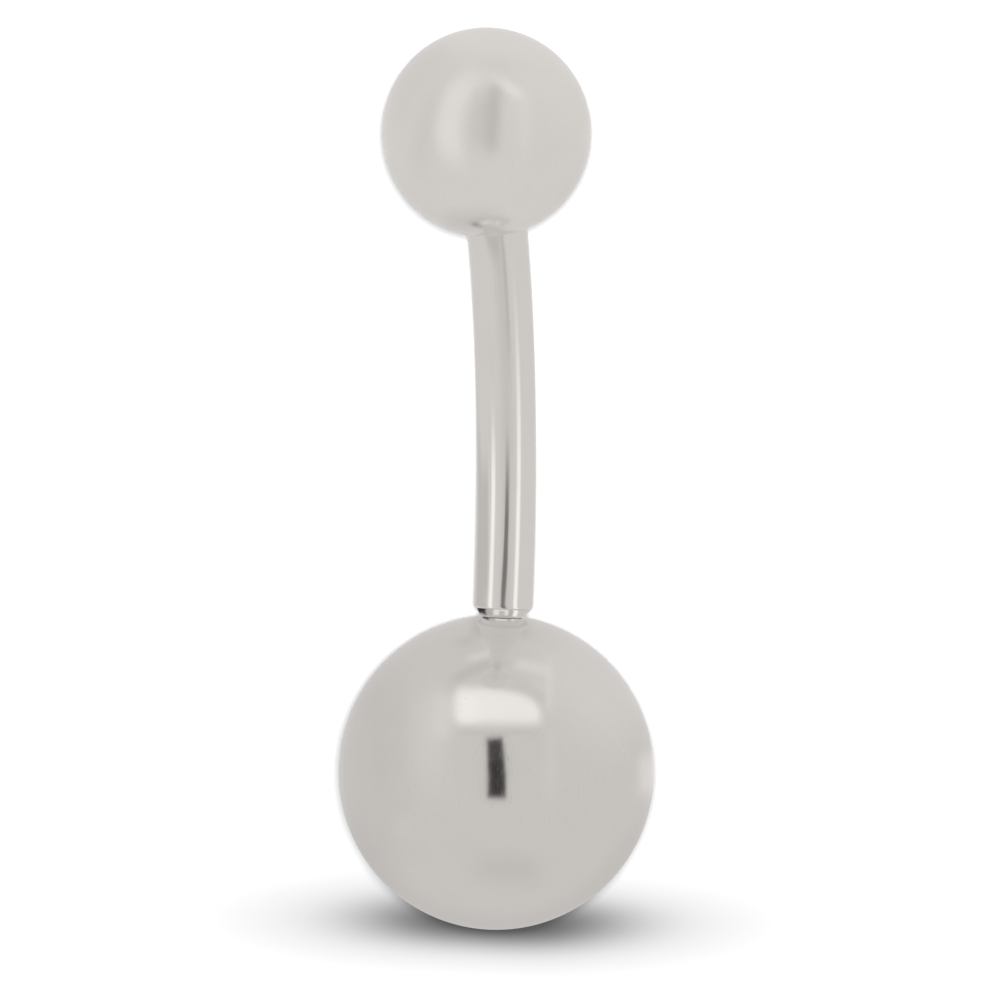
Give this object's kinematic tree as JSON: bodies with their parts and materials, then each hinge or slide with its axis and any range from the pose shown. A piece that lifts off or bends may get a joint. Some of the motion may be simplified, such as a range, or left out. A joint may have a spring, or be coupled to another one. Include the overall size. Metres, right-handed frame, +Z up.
{
  "type": "navel ring",
  "caption": "Plain curved barbell navel ring of polished white metal: a bent round bar with a small screw-on ball at one end and a large one at the other.",
  "frame": {"origin": "middle of the underside of the ring's box as it lies on a flat surface, on both balls with its bow hanging down", "axes": "+Z up from the surface, +Y along the ring from the large ball to the small ball, x = 0 halves the ring"},
  "size_m": [0.008, 0.0244, 0.008],
  "materials": {
    "polished_bar": "mirror polish with fine lengthwise hairlines",
    "polished_small_ball": "bright polish, slightly softer than the large ball",
    "polished_large_ball": "mirror polish with faint handling scratches"
  },
  "bodies": {
    "bar": {"curved_bar": "polished_bar"},
    "small_ball": {"small_ball": "polished_small_ball"},
    "large_ball": {"large_ball": "polished_large_ball"}
  },
  "joints": [
    {"name": "small_ball_off", "type": "slide", "parent": "bar", "child": "small_ball", "axis": [0, 0.943, 0.3329], "range_m": [0, 0.0023]},
    {"name": "large_ball_off", "type": "slide", "parent": "bar", "child": "large_ball", "axis": [0, -0.9069, 0.4213], "range_m": [0, 0.0028]}
  ]
}
